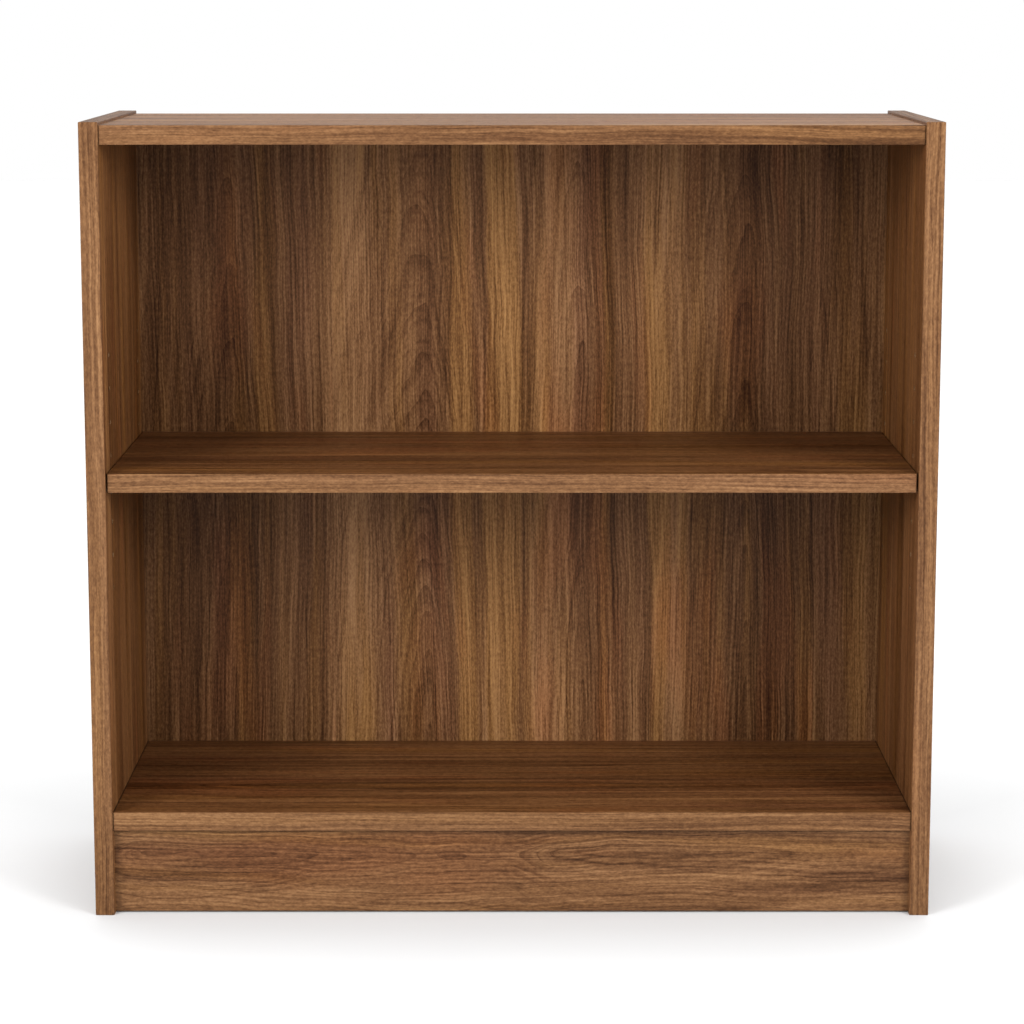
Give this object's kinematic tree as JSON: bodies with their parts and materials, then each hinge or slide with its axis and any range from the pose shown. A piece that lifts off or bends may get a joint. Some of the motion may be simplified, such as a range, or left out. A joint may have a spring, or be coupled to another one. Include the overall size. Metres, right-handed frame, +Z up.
{
  "type": "bookcase",
  "caption": "Low open bookcase with two sides, a top, a height-adjustable shelf on pins, a fixed bottom shelf over a recessed kick plate and a thin grooved back.",
  "frame": {"origin": "on the floor, at the middle of the footprint", "axes": "+X to the right of someone facing the open front, +Y to the back, +Z up"},
  "size_m": [0.8, 0.3, 0.757],
  "materials": {
    "panel_laminate": "walnut wood-grain laminate on particle board, satin",
    "edge_band": "walnut wood-grain edge band, satin",
    "back_board": "walnut-printed hardboard, satin",
    "steel": "zinc plated",
    "zinc": "die cast, dull",
    "beech": "bare beech",
    "plastic": "moulded, fine texture",
    "nickel": "nickel plated"
  },
  "bodies": {
    "carcass": {"left_side": "panel_laminate", "right_side": "panel_laminate", "left_side_front_band": "edge_band", "right_side_front_band": "edge_band", "left_side_top_band": "edge_band", "right_side_top_band": "edge_band", "top_panel": "panel_laminate", "top_panel_front_band": "edge_band", "bottom_shelf": "panel_laminate", "bottom_shelf_front_band": "edge_band", "kick_plate": "panel_laminate", "back_panel": "back_board", "back_panel_nails": "steel", "cam_bolts": "steel", "cam_locks": "zinc", "wood_dowels": "beech", "corner_blocks": "plastic", "corner_block_screws": "steel"},
    "shelf": {"adjustable_shelf": "panel_laminate", "adjustable_shelf_front_band": "edge_band"},
    "pin_front_left": {"shelf_pin_front_left": "nickel"},
    "pin_front_right": {"shelf_pin_front_right": "nickel"},
    "pin_rear_left": {"shelf_pin_rear_left": "nickel"},
    "pin_rear_right": {"shelf_pin_rear_right": "nickel"}
  },
  "joints": [
    {"name": "shelf_height", "type": "slide", "parent": "carcass", "child": "shelf", "axis": [0, 0, 1], "range_m": [-0.096, 0.096]},
    {"name": "pin_front_left_pull", "type": "slide", "parent": "shelf", "child": "pin_front_left", "axis": [1, 0, 0], "range_m": [0, 0.01]},
    {"name": "pin_front_right_pull", "type": "slide", "parent": "shelf", "child": "pin_front_right", "axis": [-1, 0, 0], "range_m": [0, 0.01]},
    {"name": "pin_rear_left_pull", "type": "slide", "parent": "shelf", "child": "pin_rear_left", "axis": [1, 0, 0], "range_m": [0, 0.01]},
    {"name": "pin_rear_right_pull", "type": "slide", "parent": "shelf", "child": "pin_rear_right", "axis": [-1, 0, 0], "range_m": [0, 0.01]}
  ]
}
